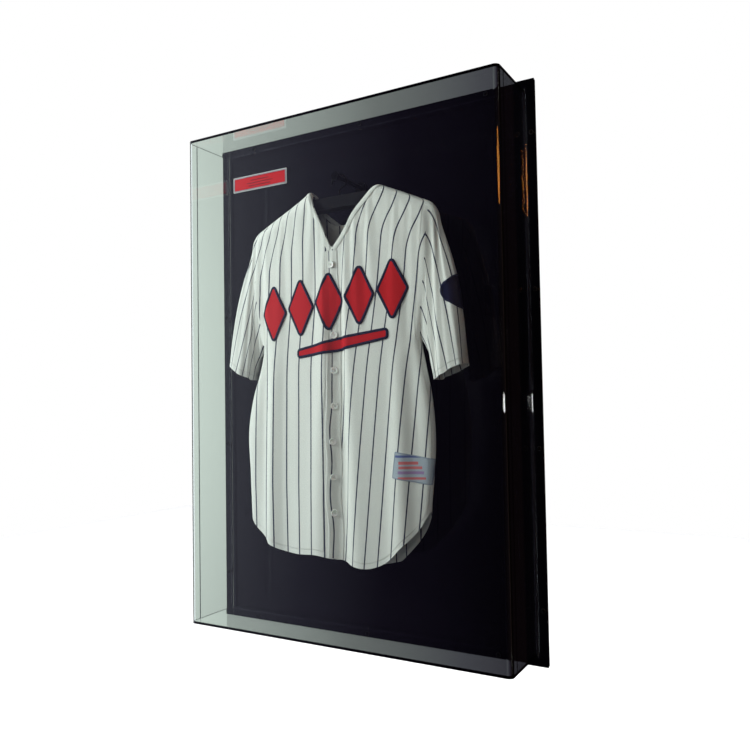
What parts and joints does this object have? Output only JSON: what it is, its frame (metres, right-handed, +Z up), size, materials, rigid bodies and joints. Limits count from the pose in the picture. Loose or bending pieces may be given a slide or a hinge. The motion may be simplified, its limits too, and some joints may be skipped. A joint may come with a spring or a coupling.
{
  "type": "jersey display frame",
  "caption": "Wall-hung shadow case for a sports shirt: clear bent-acrylic cover screwed to a flanged black panel, with a pinstriped shirt on a hanger inside.",
  "frame": {"origin": "midway between the wall rail's two screw holes, on the wall's face", "axes": "+X to the viewer's right, +Y into the wall, +Z up"},
  "size_m": [0.773, 0.155, 1.107],
  "materials": {
    "rail_aluminium": "extruded, satin",
    "black_steel": "black oxide",
    "zinc_steel": "zinc plated",
    "bumper_rubber": "matt",
    "black_acrylic": "polished",
    "insert_brass": "turned",
    "clear_acrylic": "clear polished acrylic",
    "black_nylon": "moulded",
    "red_plate": "two-layer engraving sheet",
    "silver_line": "satin",
    "foam_tape": "foam",
    "jersey_cloth": "knitted polyester with navy pinstripes",
    "label_cloth": "woven label",
    "button_pearl": "pearl",
    "navy_twill": "tackle twill",
    "red_twill": "tackle twill"
  },
  "bodies": {
    "wall_mount": {"wall_rail": "rail_aluminium"},
    "case": {"back_panel": "black_acrylic", "panel_rail": "rail_aluminium", "rail_bolts": "black_steel", "rail_nuts": "zinc_steel", "wall_bumpers": "bumper_rubber", "panel_inserts": "insert_brass", "nameplate": "red_plate", "nameplate_rim": "silver_line", "nameplate_tape": "foam_tape", "hanger_peg": "black_nylon", "peg_bolt": "zinc_steel"},
    "cover": {"cover_front": "clear_acrylic", "cover_side_right": "clear_acrylic", "cover_side_left": "clear_acrylic", "cover_top": "clear_acrylic", "cover_bottom": "clear_acrylic", "cover_washers": "black_nylon", "cover_screws": "black_steel"},
    "hook": {"hanger_hook": "black_steel"},
    "garment": {"hanger_bar": "black_nylon", "jersey_front_left": "jersey_cloth", "jersey_front_right": "jersey_cloth", "jersey_placket": "jersey_cloth", "jersey_back": "jersey_cloth", "jersey_sleeve_left": "jersey_cloth", "jersey_sleeve_right": "jersey_cloth", "jersey_collar": "jersey_cloth", "neck_label": "label_cloth", "jersey_buttons": "button_pearl", "chest_backing": "navy_twill", "chest_applique": "red_twill", "hem_tag": "label_cloth", "sleeve_patch": "navy_twill"}
  },
  "joints": [
    {"name": "case_lift", "type": "slide", "parent": "wall_mount", "child": "case", "axis": [0, 0, 1], "range_m": [0, 0.016]},
    {"name": "cover_off", "type": "slide", "parent": "case", "child": "cover", "axis": [0, -1, 0], "range_m": [0, 0.16]},
    {"name": "hook_swing", "type": "hinge", "parent": "case", "child": "hook", "pos_m": [0, -0.1, 0.159], "axis": [0, 1, 0], "range_deg": [-3, 3]},
    {"name": "hanger_swivel", "type": "hinge", "parent": "hook", "child": "garment", "pos_m": [0, -0.1, 0.121], "axis": [0, 0, 1], "range_deg": [-3, 3]}
  ]
}
